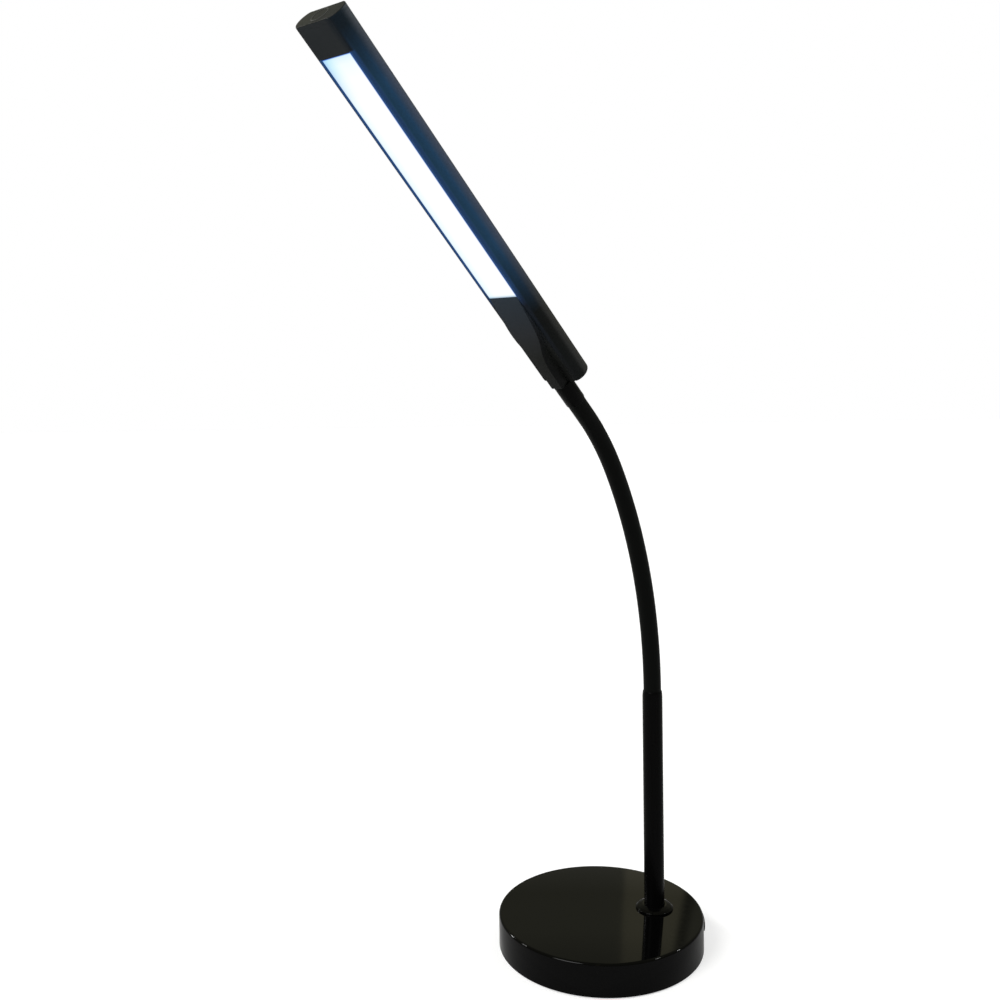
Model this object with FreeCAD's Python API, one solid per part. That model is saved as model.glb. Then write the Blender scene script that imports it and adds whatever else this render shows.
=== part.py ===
import FreeCAD, Part
import math
import os

from FreeCAD import Placement, Rotation, Vector

# Gooseneck desk lamp, in millimetres.
# Origin: centre of the base's underside, on the desk. +Z is up, and the stem stands behind the centre, on +Y.
# The neck and the head are drawn in a frame of their own, which leans forward along its -Y, and that
# frame is turned about the stem to the side that the neck is bent to.

# Base
BASE_RADIUS = 75.0
BASE_TOP = 23.6
COVER_RIM = 0.8            # the cover's rim hangs this far above the desk
COVER_WALL = 2.4
COVER_EDGE = 1.0           # bevel of the top edge
PAD_THICKNESS = 1.6
PAD_SETBACK = 4.5          # from the cover's rim
BALLAST_THICKNESS = 7.6
BALLAST_CLEARANCE = 0.3    # to the cover's wall
BALLAST_FLOOR = 2.0        # left under its channel
CHANNEL_HALF = 10.0        # half width of its channel, for the lead and its terminals
HUB_RADIUS = 14.0          # its hub carries the cover under the stem
NUT_SPACE_RADIUS = 11.0
NUT_SPACE_TOP = 14.6

# Cord inlet in the rear of the base, and the terminals behind it
INLET_HEIGHT = 11.0
INLET_BORE = 2.7
INLET_NECK = 5.0
INLET_FLANGE = 6.5
INLET_SEAT = 0.4           # depth of the flat seat for its flange
INLET_NOSE = 2.4
INLET_TAIL = 2.6
TERMINAL_HALF = 8.0
TERMINAL_DEPTH = 10.0
TERMINAL_HEIGHT = 8.0
TERMINAL_FRONT = 15.5      # from the stem's axis
TERMINAL_GROOVE = 1.6      # between its two ways

# Stem
STEM_SETBACK = 34.5        # from the cover's rim, at the back, to its axis
STEM_RADIUS = 7.4
STEM_WALL = 0.85
STEM_LENGTH = 161.0
STEM_MOUTH_LENGTH = 5.5    # its top end is rolled in over this length
STEM_MOUTH_RADIUS = 6.85
COLLAR_RADIUS = 13.7
COLLAR_HEIGHT = 3.3
COLLAR_EDGE = 0.9          # upright part of its rim
COLLAR_FLAT = 1.9          # width of the flat ring round the stem
COLLAR_FIT = 0.05
NIPPLE_RADIUS = 5.0
NIPPLE_BORE = 3.4
NIPPLE_END = 8.8           # height of its lower end
PLUG_LENGTH = 20.0
PLUG_FIT = 0.05
THREAD_FIT = 0.05
NUT_ACROSS_FLATS = 15.0
NUT_HEIGHT = 5.0

# Neck: its centre line is two tangent arcs and a straight end
NECK_TURN = 44.1           # degrees from the front, towards +X
NECK_START_DEPTH = 1.5     # it starts to bend this far below the stem's mouth
NECK_LOWER_LENGTH = 178.0
NECK_LOWER_BEND = 31.45
NECK_UPPER_LENGTH = 51.2
NECK_UPPER_BEND = 16.55
NECK_END_LENGTH = 29.4
SLEEVE_RADIUS = 6.5
CORE_BORE = 2.6
LINK_COUNT = 6
FIRST_HINGE = 8.0          # along the centre line
NECK_TOP_LENGTH = 21.6     # from the last hinge to the centre line's end
HINGE_GAP = 0.3            # between two stiff lengths, at their hinge
HINGE_BEVEL = 13.5         # degrees to each side of a hinge
SOCKET_DEPTH = 38.5        # how far the neck goes down inside the stem
LEAD_RADIUS = 1.7
LEAD_LEVEL = 2.2           # above the floor of the ballast's channel
LEAD_BEND = 3.4
LEAD_MARGIN = 8.5          # from the first hinge down to the lead's end

# Ferrule and threaded stud at the neck's upper end
FERRULE_RADIUS = 7.0
FERRULE_LENGTH = 13.6      # below the end of the centre line
NECK_SEAT = 2.0            # the neck's end, below the end of the centre line
STUD_RADIUS = 3.2
STUD_BORE = 1.9
STUD_LENGTH = 21.4

# Head: its length runs up the neck's last tangent, and its flat front faces forward
AXIS_DEPTH = 0.75          # the neck's axis lies this far behind the flat front
HEAD_REAR = 6.6
HEAD_END = 290.6
HEAD_DEPTH = 15.3
FRONT_HALF = 13.2          # half widths of the section, at the front, the middle and the back
BULGE_HALF = 17.75
BACK_HALF = 13.6
HEAD_WALL = 1.7
REAR_EDGE = 1.4            # bevel round the rear end
OPENING_HALF = 11.3        # half width of the opening in the flat front
PANEL_FIT = 0.15           # clearance of what closes the opening
WINDOW_BOTTOM = 86.0
WINDOW_MARGIN = 21.4       # from the window to the head's end
LIP_THICKNESS = 1.0
LIP_OVERLAP = 0.9          # behind the edge of the opening
WINDOW_LIP = 2.0           # the window's lip under the end of the panel
STACK_FIT = 0.05

# Moulded fairing over the neck's end
CROWN_HEIGHT = 6.6
CROWN_TAIL_HALF = 4.4      # half width of its face at the neck
CROWN_DRAFT = 1.4          # its sides spread by this much over its height
CROWN_FLARE_START = 27.0
CROWN_FLARE_END = 62.0
CROWN_KINK = 28.0          # its face starts to fall here
CROWN_BLEND = 200.0
CROWN_WALL = 1.5
FAIRING_LIP_START = 36.0
FAIRING_LIP_GAP = 3.0      # to the window
FAIRING_LIP_BAR = 3.0
FAIRING_LIP_SIDE = 2.0

# Light unit behind the window
REFLECTOR_DEPTH = 6.0
REFLECTOR_WALL = 1.0
REFLECTOR_FLOOR_HALF = 5.0
BOARD_MARGIN = 4.1         # inside the window's ends
BOARD_HALF = 10.0
BOARD_THICKNESS = 1.2
SPREADER_HALF = 9.0
SPREADER_THICKNESS = 1.4
LED_PITCH = 7.0
LED_MARGIN = 3.0           # left at each end of the board, at least
LED_LENGTH = 3.5
LED_WIDTH = 2.8
LED_HEIGHT = 0.7
LED_SLOT_HALF = 2.4
LED_SLOT_MARGIN = 2.0      # the tray is whole over this much of the board's end
RIB_COUNT = 5
RIB_THICKNESS = 1.4
RIB_HALF = 11.0

# Cradle and strap that hold the stud
CRADLE_START = 11.0
CRADLE_LENGTH = 20.0
CRADLE_HALF = 9.5
CRADLE_FACE = 3.4          # its depth behind the flat front
STRAP_THICKNESS = 0.8
STRAP_WIDTH = 12.0

# End cap, and the touch switch behind it
CAP_THICKNESS = 2.6
CAP_PLUG_LENGTH = 2.0
RING_RADIUS = 5.8
RING_WIDTH = 0.7
RING_HEIGHT = 0.2
ELECTRODE_HALF = 4.0
ELECTRODE_THICKNESS = 0.3
TOUCH_BOARD_LENGTH = 12.0
TOUCH_BOARD_HALF = 8.0
TOUCH_BOARD_GAP = 3.0      # behind the cap
TOUCH_PAD_HALF = 6.0
TOUCH_PAD_INSET = 2.0
HEAD_LEAD_RADIUS = 1.4
HEAD_LEAD_STRAIGHT = 36.0  # up the stud's bore, before it slants to the board
HEAD_LEAD_GAP = 0.5        # to the board's end

ORIGIN = Vector(0, 0, 0)
UP = Vector(0, 0, 1)
BACK = Vector(0, 1, 0)


def save(node, shape):
    """Writes one piece under its node's name."""
    shape.exportStep("parts/" + node + ".step")


def cylinder(radius, start, axis, length):
    """A round bar from a point along an axis."""
    return Part.makeCylinder(radius, length, start, axis)


def tube(outer, inner, start, axis, length):
    """A round tube from a point along an axis."""
    return cylinder(outer, start, axis, length).cut(cylinder(inner, start, axis, length))


def block(x, y, z):
    """A box between pairs of limits."""
    size = (x[1] - x[0], y[1] - y[0], z[1] - z[0])
    return Part.makeBox(size[0], size[1], size[2], Vector(x[0], y[0], z[0]))


def turned(profile):
    """A solid of revolution about Z, from the corners (radius, height) of its profile."""
    corners = [Vector(radius, 0, height) for radius, height in profile]
    face = Part.Face(Part.makePolygon(corners + corners[:1]))
    return face.revolve(ORIGIN, UP, 360)


def hexagon(across_flats, start, height):
    """A hexagonal prism standing on a point."""
    corner = across_flats / math.sqrt(3)
    points = [Vector(corner * math.cos(math.radians(60 * i)), corner * math.sin(math.radians(60 * i)), 0)
              for i in range(7)]
    prism = Part.Face(Part.makePolygon(points)).extrude(UP * height)
    prism.translate(start)
    return prism


# Heights in the base
ballast_top = PAD_THICKNESS + BALLAST_THICKNESS
channel_floor = PAD_THICKNESS + BALLAST_FLOOR
cover_inside = BASE_TOP - COVER_WALL
nut_bottom = NUT_SPACE_TOP - NUT_HEIGHT
stem_offset = BASE_RADIUS - STEM_SETBACK
stem_foot = Vector(0, stem_offset, BASE_TOP)
stem_top = BASE_TOP + STEM_LENGTH
neck_start = stem_top - NECK_START_DEPTH
stem_bore = STEM_RADIUS - STEM_WALL
cover_bore = BASE_RADIUS - COVER_WALL
inlet_face = BASE_RADIUS - INLET_SEAT


def at_stem(height):
    """A point on the stem's axis."""
    return Vector(0, stem_offset, height)


def base_cover():
    """Moulded round shell, open below, with holes for the stem's nipple and the cord inlet."""
    profile = [(cover_bore, COVER_RIM), (BASE_RADIUS, COVER_RIM), (BASE_RADIUS, BASE_TOP - COVER_EDGE),
               (BASE_RADIUS - COVER_EDGE, BASE_TOP), (0, BASE_TOP), (0, cover_inside),
               (cover_bore, cover_inside)]
    shell = turned(profile)
    shell = shell.cut(cylinder(NIPPLE_RADIUS + THREAD_FIT, at_stem(0), UP, 2 * BASE_TOP))
    inlet = Vector(0, 0, INLET_HEIGHT)
    shell = shell.cut(cylinder(INLET_NECK, inlet, BACK, BASE_RADIUS))
    return shell.cut(cylinder(INLET_FLANGE, inlet + BACK * inlet_face, BACK, BASE_RADIUS))


def ballast():
    """Cast iron disc that closes the base, with a hub under the stem and a channel to the inlet."""
    disc = cylinder(cover_bore - BALLAST_CLEARANCE, Vector(0, 0, PAD_THICKNESS), UP, BALLAST_THICKNESS)
    disc = disc.fuse(cylinder(HUB_RADIUS, at_stem(PAD_THICKNESS), UP, cover_inside - PAD_THICKNESS))
    disc = disc.cut(cylinder(NUT_SPACE_RADIUS, at_stem(PAD_THICKNESS), UP, NUT_SPACE_TOP - PAD_THICKNESS))
    disc = disc.cut(cylinder(NIPPLE_RADIUS + THREAD_FIT, at_stem(0), UP, BASE_TOP))
    return disc.cut(block((-CHANNEL_HALF, CHANNEL_HALF), (stem_offset, BASE_RADIUS),
                          (channel_floor, NUT_SPACE_TOP)))


def base_pad():
    """Foam pad under the base."""
    return cylinder(BASE_RADIUS - PAD_SETBACK, ORIGIN, UP, PAD_THICKNESS)


def cord_inlet():
    """Rubber bush in the rear wall, with a flange outside."""
    start = cover_bore - INLET_TAIL
    end = inlet_face + INLET_NOSE
    profile = [(INLET_BORE, start), (INLET_NECK, start), (INLET_NECK, inlet_face), (INLET_FLANGE, inlet_face),
               (INLET_FLANGE, end), (INLET_BORE, end)]
    bush = turned(profile)
    bush.Placement = Placement(Vector(0, 0, INLET_HEIGHT), Rotation(Vector(1, 0, 0), -90))
    return bush


def terminal_block():
    """Two-way terminal block in the ballast's channel, with a groove between its ways."""
    front = stem_offset + TERMINAL_FRONT
    top = channel_floor + TERMINAL_HEIGHT
    body = block((-TERMINAL_HALF, TERMINAL_HALF), (front, front + TERMINAL_DEPTH), (channel_floor, top))
    half = TERMINAL_GROOVE / 2
    return body.cut(block((-half, half), (front, front + TERMINAL_DEPTH), (top - TERMINAL_HEIGHT / 3, top)))


def stem_tube():
    """Steel tube with its top end rolled in to the neck."""
    profile = [(stem_bore, BASE_TOP), (STEM_RADIUS, BASE_TOP), (STEM_RADIUS, stem_top - STEM_MOUTH_LENGTH),
               (STEM_MOUTH_RADIUS, stem_top), (stem_bore, stem_top)]
    pipe = turned(profile)
    pipe.translate(at_stem(0))
    return pipe


def stem_collar():
    """Low ring round the stem's foot, falling away to its rim."""
    bore = STEM_RADIUS + COLLAR_FIT
    profile = [(bore, 0), (COLLAR_RADIUS, 0), (COLLAR_RADIUS, COLLAR_EDGE),
               (bore + COLLAR_FLAT, COLLAR_HEIGHT), (bore, COLLAR_HEIGHT)]
    ring = turned(profile)
    ring.translate(stem_foot)
    return ring


def stem_nipple():
    """Turned bush pressed into the tube's foot, with a hollow threaded end that draws the stem down."""
    plug = stem_bore - PLUG_FIT
    top = BASE_TOP + PLUG_LENGTH
    profile = [(NIPPLE_BORE, NIPPLE_END), (NIPPLE_RADIUS, NIPPLE_END), (NIPPLE_RADIUS, BASE_TOP),
               (plug, BASE_TOP), (plug, top), (NIPPLE_BORE, top)]
    nipple = turned(profile)
    nipple.translate(at_stem(0))
    return nipple


def stem_nut():
    """Hexagon nut that holds the cover and the ballast to the stem."""
    nut = hexagon(NUT_ACROSS_FLATS, at_stem(nut_bottom), NUT_HEIGHT)
    return nut.cut(cylinder(NIPPLE_RADIUS + THREAD_FIT, at_stem(0), UP, BASE_TOP))


def swept_lead(radius, places):
    """A round lead through points in the plane x = 0."""
    points = [Vector(0, y, z) for y, z in places]
    section = Part.Wire(Part.makeCircle(radius, points[0], points[1] - points[0]))
    return Part.makePolygon(points).makePipeShell([section], True, True, 1)


def stem_lead():
    """Two-core lead from the terminals, round one bend and up inside the stem."""
    level = channel_floor + LEAD_LEVEL
    places = [(stem_offset + TERMINAL_FRONT, level), (stem_offset + LEAD_BEND, level),
              (stem_offset, level + LEAD_BEND), (stem_offset, neck_start + FIRST_HINGE - LEAD_MARGIN)]
    return swept_lead(LEAD_RADIUS, places)


def neck_point(distance):
    """Place and lean of the neck's centre line, at a distance along it, in the neck's own plane."""
    y, z, lean = 0.0, neck_start, 0.0
    for length, bend in ((NECK_LOWER_LENGTH, NECK_LOWER_BEND), (NECK_UPPER_LENGTH, NECK_UPPER_BEND)):
        radius = length / math.radians(bend)
        step = min(distance, length)
        turn = step / radius
        y -= radius * (math.cos(lean) - math.cos(lean + turn))
        z += radius * (math.sin(lean + turn) - math.sin(lean))
        lean += turn
        distance -= step
    y -= distance * math.sin(lean)
    z += distance * math.cos(lean)
    return Vector(0, y, z), lean


NECK_LENGTH = NECK_LOWER_LENGTH + NECK_UPPER_LENGTH + NECK_END_LENGTH
neck_frame = Placement(at_stem(0), Rotation(UP, NECK_TURN))
hinge_pitch = (NECK_LENGTH - NECK_TOP_LENGTH - FIRST_HINGE) / LINK_COUNT


def neck_place(distance):
    """Place and direction of the neck at a distance along it, as a frame with its Z along the neck."""
    point, lean = neck_point(distance)
    return Placement(point, Rotation(Vector(1, 0, 0), math.degrees(lean)))


hinges = [neck_place(FIRST_HINGE + hinge_pitch * i) for i in range(LINK_COUNT + 1)]
front_shift = Placement(Vector(0, -AXIS_DEPTH, 0), Rotation())
head_frame = neck_frame.multiply(neck_place(NECK_LENGTH)).multiply(front_shift)


def in_head(shape):
    """Moves a piece from the head's frame to the lamp's."""
    placed = shape.copy()
    placed.Placement = head_frame.multiply(placed.Placement)
    return placed


def foot_cut(number):
    """What is cut away at a stiff length's foot: it leaves a ridge along its hinge, bevelled to both sides.

    The hinges bend the neck forward and sideways by turns.
    """
    reach = 2 * SLEEVE_RADIUS
    ridge = HINGE_GAP / 2
    rise = ridge + reach * math.tan(math.radians(HINGE_BEVEL))
    outline = [(-reach, -reach), (reach, -reach), (reach, rise), (0, ridge), (-reach, rise), (-reach, -reach)]
    points = [Vector(-reach, y, z) for y, z in outline]
    cutter = Part.Face(Part.makePolygon(points)).extrude(Vector(2 * reach, 0, 0))
    turn = Placement(ORIGIN, Rotation(UP, 90 * (number % 2)))
    cutter.Placement = hinges[number].multiply(turn)
    return cutter


def top_cut(number):
    """What is cut away at a stiff length's top."""
    reach = 2 * SLEEVE_RADIUS
    cutter = block((-reach, reach), (-reach, reach), (-HINGE_GAP / 2, reach))
    cutter.Placement = hinges[number]
    return cutter


def stiff_length(start, end, foot=None, top=None):
    """Sleeved core of the neck between two points, cut to the hinges at its foot and at its top."""
    axis = (end - start).normalize()
    low = start if foot is None else start - axis * HINGE_GAP
    high = end if top is None else end + axis * SLEEVE_RADIUS
    piece = tube(SLEEVE_RADIUS, CORE_BORE, low, axis, (high - low).Length)
    if foot is not None:
        piece = piece.cut(foot_cut(foot))
    if top is not None:
        piece = piece.cut(top_cut(top))
    piece.Placement = neck_frame.multiply(piece.Placement)
    return piece


def neck():
    """The neck: its root inside the stem, its links, its top inside the ferrule, and the ferrule."""
    places = [hinge.Base for hinge in hinges]
    foot = Vector(0, 0, stem_top - SOCKET_DEPTH)
    seat = neck_point(NECK_LENGTH - NECK_SEAT)[0]
    save("neck_root", stiff_length(foot, Vector(0, 0, places[0].z), top=0))
    for i in range(LINK_COUNT):
        save("neck_link_%02d" % (i + 1), stiff_length(places[i], places[i + 1], foot=i, top=i + 1))
    save("neck_top", stiff_length(places[-1], seat, foot=LINK_COUNT))
    save("neck_ferrule", in_head(neck_ferrule()))


def neck_ferrule():
    """Turned ferrule crimped on the neck, with the hollow stud that the head is clamped to."""
    bore = SLEEVE_RADIUS + PLUG_FIT
    top = HEAD_REAR + STUD_LENGTH
    profile = [(bore, -FERRULE_LENGTH), (FERRULE_RADIUS, -FERRULE_LENGTH), (FERRULE_RADIUS, HEAD_REAR),
               (STUD_RADIUS, HEAD_REAR), (STUD_RADIUS, top), (STUD_BORE, top), (STUD_BORE, -NECK_SEAT),
               (bore, -NECK_SEAT)]
    ferrule = turned(profile)
    ferrule.translate(Vector(0, AXIS_DEPTH, 0))
    return ferrule


def head_section(inset):
    """Face of the head's section: flat front and back, and sides that bulge on one arc each."""
    side = Part.Arc(Vector(FRONT_HALF, 0, 0), Vector(BULGE_HALF, HEAD_DEPTH / 2, 0),
                    Vector(BACK_HALF, HEAD_DEPTH, 0)).toShape().Curve
    centre, radius = side.Center, side.Radius - inset
    front, back = inset, HEAD_DEPTH - inset

    def reach(y):
        return centre.x + math.sqrt(radius ** 2 - (y - centre.y) ** 2)

    corners = [(-reach(front), front), (reach(front), front), (reach(back), back), (-reach(back), back)]
    points = [Vector(x, y, 0) for x, y in corners]
    right = Part.Arc(points[1], Vector(centre.x + radius, centre.y, 0), points[2]).toShape()
    left = Part.Arc(points[3], Vector(-centre.x - radius, centre.y, 0), points[0]).toShape()
    wire = Part.Wire([Part.makeLine(points[0], points[1]), right, Part.makeLine(points[2], points[3]), left])
    return Part.Face(wire)


def head_prism(inset, start, end):
    """The head's section drawn out along the head."""
    prism = head_section(inset).extrude(UP * (end - start))
    prism.translate(UP * start)
    return prism


# Depths in the head, behind the flat front, and heights along it
lip_front = HEAD_WALL + STACK_FIT
reflector_front = lip_front + LIP_THICKNESS + STACK_FIT
reflector_back = reflector_front + REFLECTOR_DEPTH
board_back = reflector_back + BOARD_THICKNESS
spreader_back = board_back + SPREADER_THICKNESS
head_back_inside = HEAD_DEPTH - HEAD_WALL
head_cap_start = HEAD_END - CAP_THICKNESS
strap_low = CRADLE_START + (CRADLE_LENGTH - STRAP_WIDTH) / 2
strap_high = strap_low + STRAP_WIDTH
window_top = HEAD_END - WINDOW_MARGIN
board_start = WINDOW_BOTTOM + BOARD_MARGIN
board_end = window_top - BOARD_MARGIN
led_gaps = int((board_end - board_start - LED_LENGTH - 2 * LED_MARGIN) / LED_PITCH)
first_led = (board_start + board_end - LED_PITCH * led_gaps) / 2
touch_board_end = head_cap_start - TOUCH_BOARD_GAP
touch_board_start = touch_board_end - TOUCH_BOARD_LENGTH


def rib_heights():
    """Where the ribs behind the light unit stand, along the head."""
    step = (board_end - board_start) / RIB_COUNT
    return [board_start + step * (i + 0.5) for i in range(RIB_COUNT)]


def head_housing():
    """Moulded shell with an opening in its flat front, ribs inside, and a closed rear."""
    small, full = head_section(REAR_EDGE).OuterWire, head_section(0).OuterWire
    small.translate(UP * HEAD_REAR)
    full.translate(UP * (HEAD_REAR + REAR_EDGE))
    shell = Part.makeLoft([small, full], True, True)
    shell = shell.fuse(head_prism(0, HEAD_REAR + REAR_EDGE, head_cap_start))
    shell = shell.cut(head_prism(HEAD_WALL, HEAD_REAR + HEAD_WALL, HEAD_END))
    shell = shell.cut(block((-OPENING_HALF, OPENING_HALF), (-HEAD_WALL, lip_front), (0, window_top)))
    notch = STUD_RADIUS + THREAD_FIT
    shell = shell.cut(cylinder(notch, Vector(0, AXIS_DEPTH, 0), UP, HEAD_REAR + 2 * HEAD_WALL))
    inside = (spreader_back, head_back_inside + HEAD_WALL / 2)
    for z in rib_heights():
        half = RIB_THICKNESS / 2
        shell = shell.fuse(block((-RIB_HALF, RIB_HALF), inside, (z - half, z + half)))
    pad = block((-TOUCH_PAD_HALF, TOUCH_PAD_HALF), inside,
                (touch_board_start + TOUCH_PAD_INSET, touch_board_end - TOUCH_PAD_INSET))
    return shell.fuse(pad)


def crown_outline(tail_half, full_half, y, start, end):
    """Outline of the fairing's crown at a depth: narrow at the neck, flaring to the window's width."""
    across = full_half - tail_half
    along = CROWN_FLARE_END - CROWN_FLARE_START
    radius = (across ** 2 + along ** 2) / (4 * across)
    half_turn = math.asin(along / 2 / radius) / 2
    bow = radius * (1 - math.cos(half_turn))
    run = radius * math.sin(half_turn)
    middle = ((tail_half + full_half) / 2, (CROWN_FLARE_START + CROWN_FLARE_END) / 2)
    right = [(tail_half, start), (tail_half, CROWN_FLARE_START), (tail_half + bow, CROWN_FLARE_START + run),
             middle, (full_half - bow, CROWN_FLARE_END - run), (full_half, CROWN_FLARE_END), (full_half, end)]
    points = [Vector(x, y, z) for x, z in right]
    mirror = [Vector(-p.x, p.y, p.z) for p in reversed(points)]
    edges = []
    for side in (points, mirror):
        edges.append(Part.makeLine(side[0], side[1]))
        edges.append(Part.Arc(side[1], side[2], side[3]).toShape())
        edges.append(Part.Arc(side[3], side[4], side[5]).toShape())
        edges.append(Part.makeLine(side[5], side[6]))
        edges.append(Part.makeLine(side[6], (mirror if side is points else points)[0]))
    return Part.Wire(edges)


def crown(inset, back):
    """The fairing's raised crown, or the space inside it when it is inset."""
    slope = math.atan2(CROWN_HEIGHT, WINDOW_BOTTOM - CROWN_KINK)
    spread = CROWN_DRAFT / CROWN_HEIGHT
    height = CROWN_HEIGHT - inset
    start = HEAD_REAR + inset
    end = WINDOW_BOTTOM - inset / math.sin(slope)
    tail, full = CROWN_TAIL_HALF - inset, OPENING_HALF - PANEL_FIT - inset
    low = crown_outline(tail + spread * (CROWN_HEIGHT + back), full, back, start, WINDOW_BOTTOM)
    high = crown_outline(tail, full - spread * CROWN_HEIGHT / 2, -CROWN_HEIGHT, start, WINDOW_BOTTOM)
    body = Part.makeLoft([low, high], True, True)
    tangent = CROWN_BLEND * math.tan(slope / 2)
    kink = end - height / math.tan(slope)
    top = [(back, start), (-height, start), (-height, kink - tangent)]
    bow = CROWN_BLEND * (1 - math.cos(slope / 2))
    middle = (-height + bow, kink - tangent + CROWN_BLEND * math.sin(slope / 2))
    fall = [(-height + tangent * math.sin(slope), kink + tangent * math.cos(slope)), (0, end), (back, end)]
    reach = 2 * OPENING_HALF
    top = [Vector(-reach, y, z) for y, z in top]
    fall = [Vector(-reach, y, z) for y, z in fall]
    arc = Part.Arc(top[-1], Vector(-reach, middle[0], middle[1]), fall[0]).toShape()
    if back == 0:
        fall = fall[:-1]
    edges = Part.makePolygon(top).Edges + [arc] + Part.makePolygon(fall + top[:1]).Edges
    profile = Part.Face(Part.Wire(edges)).extrude(Vector(2 * reach, 0, 0))
    return body.common(profile)


def head_fairing():
    """Moulded panel that closes the front behind the window, with a crown over the neck's stud."""
    half = OPENING_HALF - PANEL_FIT
    panel = block((-half, half), (0, HEAD_WALL), (HEAD_REAR, WINDOW_BOTTOM))
    lip_half = OPENING_HALF + LIP_OVERLAP
    lip = block((-lip_half, lip_half), (HEAD_WALL, HEAD_WALL + LIP_THICKNESS),
                (FAIRING_LIP_START, WINDOW_BOTTOM - FAIRING_LIP_GAP))
    inner = half - FAIRING_LIP_SIDE
    lip = lip.cut(block((-inner, inner), (0, HEAD_DEPTH),
                        (0, WINDOW_BOTTOM - FAIRING_LIP_GAP - FAIRING_LIP_BAR)))
    shape = panel.fuse(crown(0, 0)).fuse(lip)
    shape = shape.cut(crown(CROWN_WALL, HEAD_WALL + 2 * LIP_THICKNESS))
    notch = STUD_RADIUS + THREAD_FIT
    shape = shape.cut(cylinder(notch, Vector(0, AXIS_DEPTH, 0), UP, HEAD_REAR + 2 * CROWN_WALL))
    slot = block((-notch, notch), (AXIS_DEPTH, HEAD_DEPTH), (0, HEAD_REAR + 2 * CROWN_WALL))
    return shape.cut(slot).removeSplitter()


def diffuser():
    """Opal window with a lip behind the edge of the opening."""
    half = OPENING_HALF - PANEL_FIT
    pane = block((-half, half), (0, lip_front), (WINDOW_BOTTOM + PANEL_FIT, window_top - PANEL_FIT))
    lip_half = OPENING_HALF + LIP_OVERLAP
    lip = block((-lip_half, lip_half), (lip_front, lip_front + LIP_THICKNESS),
                (WINDOW_BOTTOM - WINDOW_LIP, window_top + LIP_OVERLAP))
    return pane.fuse(lip).removeSplitter()


def reflector():
    """White tray with sloping walls and a slot in its floor for the LEDs, open at its lower end."""
    half = OPENING_HALF + LIP_OVERLAP
    floor = REFLECTOR_FLOOR_HALF
    wall = REFLECTOR_WALL
    section = [(-half, 0), (-half + wall, 0), (-floor, REFLECTOR_DEPTH - wall),
               (floor, REFLECTOR_DEPTH - wall), (half - wall, 0), (half, 0),
               (floor + wall, REFLECTOR_DEPTH), (-floor - wall, REFLECTOR_DEPTH)]
    points = [Vector(x, reflector_front + y, WINDOW_BOTTOM) for x, y in section]
    tray = Part.Face(Part.makePolygon(points + points[:1])).extrude(UP * (window_top - WINDOW_BOTTOM))
    slot = block((-LED_SLOT_HALF, LED_SLOT_HALF), (reflector_front, board_back),
                 (0, board_end - LED_SLOT_MARGIN))
    return tray.cut(slot)


def led_board():
    """Strip of metal-cored circuit board."""
    return block((-BOARD_HALF, BOARD_HALF), (reflector_back, board_back), (board_start, board_end))


def heat_spreader():
    """Aluminium strip behind the board."""
    return block((-SPREADER_HALF, SPREADER_HALF), (board_back, spreader_back), (board_start, board_end))


def leds():
    """The row of LEDs on the board."""
    half = LED_WIDTH / 2
    row = []
    for i in range(led_gaps + 1):
        z = first_led + LED_PITCH * i
        row.append(block((-half, half), (reflector_back - LED_HEIGHT, reflector_back),
                         (z - LED_LENGTH / 2, z + LED_LENGTH / 2)))
    return Part.makeCompound(row)


def neck_cradle():
    """Cast block on the housing's back, with a shallow channel that the stud lies in."""
    x, y = (-CRADLE_HALF, CRADLE_HALF), (CRADLE_FACE, head_back_inside)
    cradle = block(x, y, (CRADLE_START, CRADLE_START + CRADLE_LENGTH))
    return cradle.cut(cylinder(STUD_RADIUS + THREAD_FIT, Vector(0, AXIS_DEPTH, 0), UP, WINDOW_BOTTOM))


def neck_strap():
    """Steel strap bent over the stud, with an ear on each side that is fixed to the cradle."""
    inner = STUD_RADIUS + THREAD_FIT
    outer = inner + STRAP_THICKNESS
    height = (strap_low, strap_high)
    arch = tube(outer, inner, Vector(0, AXIS_DEPTH, strap_low), UP, STRAP_WIDTH)
    arch = arch.cut(block((-outer, outer), (AXIS_DEPTH, HEAD_DEPTH), height))
    for side in (-1, 1):
        leg = block(sorted((side * inner, side * outer)), (AXIS_DEPTH, CRADLE_FACE), height)
        ear = block(sorted((side * inner, side * CRADLE_HALF)), (CRADLE_FACE - STRAP_THICKNESS, CRADLE_FACE),
                    height)
        arch = arch.fuse(leg).fuse(ear)
    return arch.removeSplitter()


def end_cap():
    """Cap flush with the housing, with a plug inside it."""
    cap = head_prism(0, head_cap_start, HEAD_END)
    plug = head_prism(HEAD_WALL + STACK_FIT, head_cap_start - CAP_PLUG_LENGTH, head_cap_start)
    return cap.fuse(plug)


def touch_ring():
    """Raised ring on the cap that marks where to touch."""
    start = Vector(0, HEAD_DEPTH / 2, HEAD_END)
    return tube(RING_RADIUS, RING_RADIUS - RING_WIDTH, start, UP, RING_HEIGHT)


def touch_electrode():
    """Copper foil bonded behind the cap."""
    middle = HEAD_DEPTH / 2
    back = head_cap_start - CAP_PLUG_LENGTH
    return block((-ELECTRODE_HALF, ELECTRODE_HALF), (middle - ELECTRODE_HALF, middle + ELECTRODE_HALF),
                 (back - ELECTRODE_THICKNESS, back))


def touch_board():
    """Small circuit board of the touch switch, on its pad in the housing."""
    return block((-TOUCH_BOARD_HALF, TOUCH_BOARD_HALF), (spreader_back - BOARD_THICKNESS, spreader_back),
                 (touch_board_start, touch_board_end))


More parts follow.
